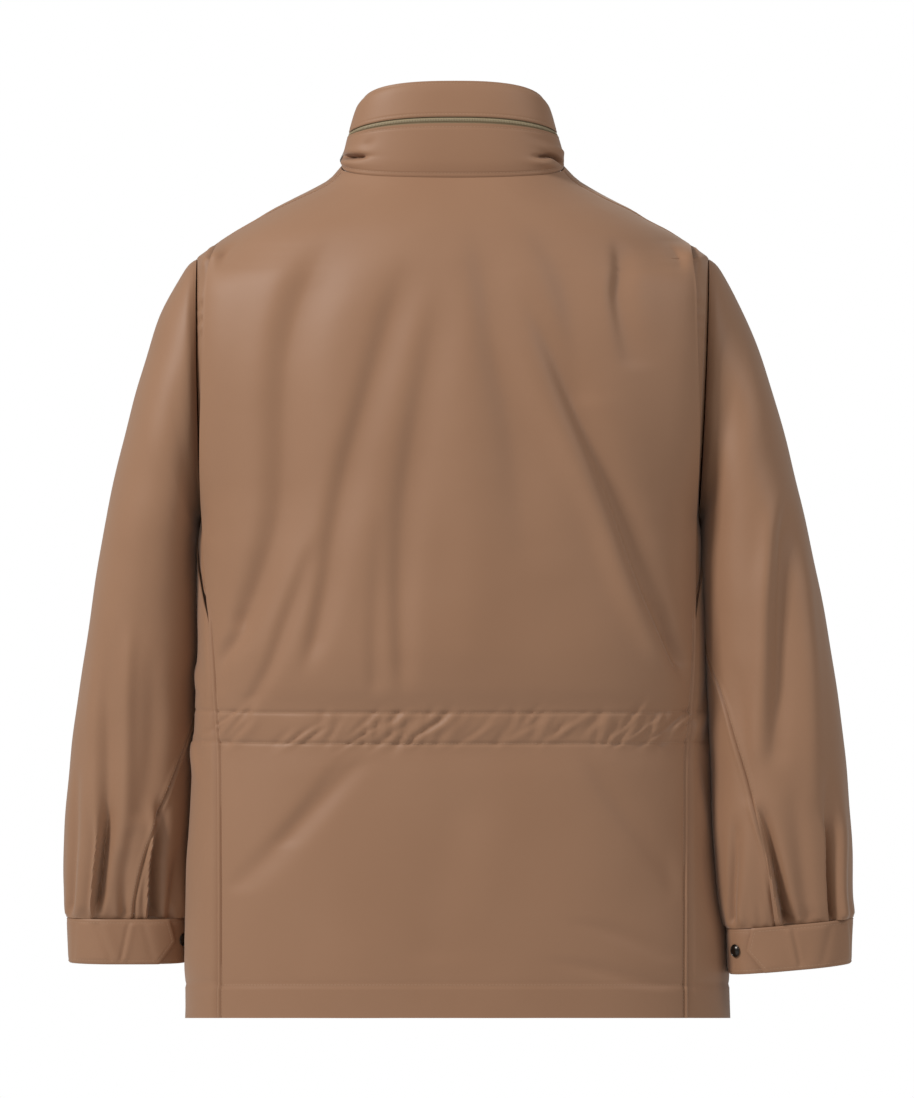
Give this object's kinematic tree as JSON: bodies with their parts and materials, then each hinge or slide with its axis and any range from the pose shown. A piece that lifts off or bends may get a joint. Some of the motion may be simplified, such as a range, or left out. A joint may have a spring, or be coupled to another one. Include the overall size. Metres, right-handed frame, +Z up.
{
  "type": "field jacket",
  "caption": "Hip-length field jacket with stand collar and hood zip, action pleats at the back, drawstring waist casing and snap cuffs, filled out and hollow.",
  "frame": {"origin": "the middle of the neck, level with the ends of the collar seam, where the jacket hangs on the wearer's neck and shoulders", "axes": "+Z up to the collar, +X the wearer's right, +Y the wearer's front"},
  "size_m": [0.7356, 0.2735, 0.8787],
  "materials": {
    "shell_cloth": "smooth brown cotton satin with a soft sheen",
    "zip_tape": "woven olive tape with fine moulded teeth",
    "zip_metal": "dark worn metal",
    "snap_metal": "domed gunmetal"
  },
  "bodies": {
    "jacket": {"back": "shell_cloth", "back_pleat_left": "shell_cloth", "back_pleat_right": "shell_cloth", "front_left": "shell_cloth", "front_right": "shell_cloth", "front_placket": "shell_cloth", "sleeve_upper_left": "shell_cloth", "sleeve_upper_right": "shell_cloth", "sleeve_under_left": "shell_cloth", "sleeve_under_right": "shell_cloth", "cuff_left": "shell_cloth", "cuff_right": "shell_cloth", "collar_stand": "shell_cloth", "collar_top": "shell_cloth", "collar_zip": "zip_tape", "zip_slider": "zip_metal", "cuff_snap_left": "snap_metal", "cuff_snap_right": "snap_metal"},
    "pull_tab": {"zip_pull": "zip_metal"}
  },
  "joints": [
    {"name": "pull_tab_hinge", "type": "hinge", "parent": "jacket", "child": "pull_tab", "pos_m": [-0.09729, 0.02924, 0.02726], "axis": [0.4249, 0.7919, -0.4387], "range_deg": [0, 165]}
  ]
}
